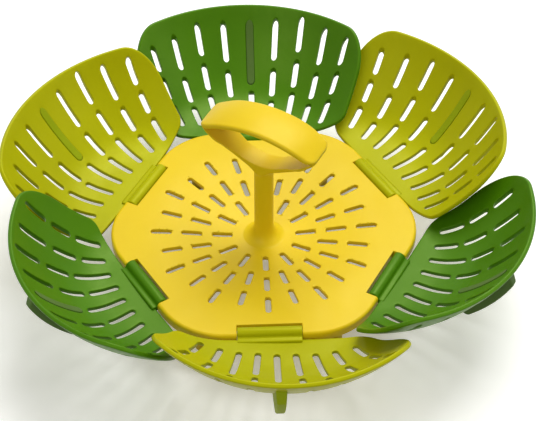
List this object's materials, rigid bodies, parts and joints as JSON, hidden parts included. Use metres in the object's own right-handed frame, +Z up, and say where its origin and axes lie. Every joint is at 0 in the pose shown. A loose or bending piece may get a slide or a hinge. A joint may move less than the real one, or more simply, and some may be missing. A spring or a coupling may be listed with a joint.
{
  "type": "folding steamer basket",
  "caption": "Slotted plate on short legs with hinged, overlapping petals that fold in over it, silicone feet under the petals and a loop handle on a central stem.",
  "frame": {"origin": "on the table, under the middle of the plate, which is the stem's axis", "axes": "+Z up along the stem; -Y the front, where the middle of the front petal is; +X to the right"},
  "size_m": [0.2534, 0.2608, 0.0972],
  "materials": {
    "yellow_plastic": "glossy yellow moulded plastic",
    "lime_plastic": "glossy lime moulded plastic",
    "green_plastic": "glossy green moulded plastic",
    "olive_silicone": "matte olive silicone",
    "grey_green_silicone": "matte dark grey-green silicone",
    "stainless_steel": "plain stainless steel"
  },
  "bodies": {
    "base": {"base_plate": "yellow_plastic", "handle": "yellow_plastic", "handle_screw": "stainless_steel", "hinge_pin_back_right": "stainless_steel", "hinge_pin_back": "stainless_steel", "hinge_pin_back_left": "stainless_steel", "hinge_pin_front_left": "stainless_steel", "hinge_pin_front": "stainless_steel", "hinge_pin_front_right": "stainless_steel"},
    "leaf_back_right": {"petal_back_right": "lime_plastic", "foot_back_right": "olive_silicone"},
    "leaf_back": {"petal_back": "green_plastic", "foot_back": "grey_green_silicone"},
    "leaf_back_left": {"petal_back_left": "lime_plastic", "foot_back_left": "olive_silicone"},
    "leaf_front_left": {"petal_front_left": "green_plastic", "foot_front_left": "grey_green_silicone"},
    "leaf_front": {"petal_front": "lime_plastic", "foot_front": "olive_silicone"},
    "leaf_front_right": {"petal_front_right": "green_plastic", "foot_front_right": "grey_green_silicone"}
  },
  "joints": [
    {"name": "fold_front", "type": "hinge", "parent": "base", "child": "leaf_front", "pos_m": [0, -0.067, 0.0219], "axis": [-1, 0, 0], "range_deg": [0, 75]},
    {"name": "fold_front_right", "type": "hinge", "parent": "base", "child": "leaf_front_right", "pos_m": [0.05802, -0.0335, 0.0219], "axis": [-0.5, -0.866, 0], "range_deg": [0, 75]},
    {"name": "fold_back_right", "type": "hinge", "parent": "base", "child": "leaf_back_right", "pos_m": [0.05802, 0.0335, 0.0219], "axis": [0.5, -0.866, 0], "range_deg": [0, 75]},
    {"name": "fold_back", "type": "hinge", "parent": "base", "child": "leaf_back", "pos_m": [0, 0.067, 0.0219], "axis": [1, 0, 0], "range_deg": [0, 75]},
    {"name": "fold_back_left", "type": "hinge", "parent": "base", "child": "leaf_back_left", "pos_m": [-0.05802, 0.0335, 0.0219], "axis": [0.5, 0.866, 0], "range_deg": [0, 75]},
    {"name": "fold_front_left", "type": "hinge", "parent": "base", "child": "leaf_front_left", "pos_m": [-0.05802, -0.0335, 0.0219], "axis": [-0.5, 0.866, 0], "range_deg": [0, 75]}
  ],
  "couplings": [
    {"joint": "fold_front_right", "follows": "fold_front", "ratio": 1},
    {"joint": "fold_back_right", "follows": "fold_front", "ratio": 1},
    {"joint": "fold_back", "follows": "fold_front", "ratio": 1},
    {"joint": "fold_back_left", "follows": "fold_front", "ratio": 1},
    {"joint": "fold_front_left", "follows": "fold_front", "ratio": 1}
  ]
}
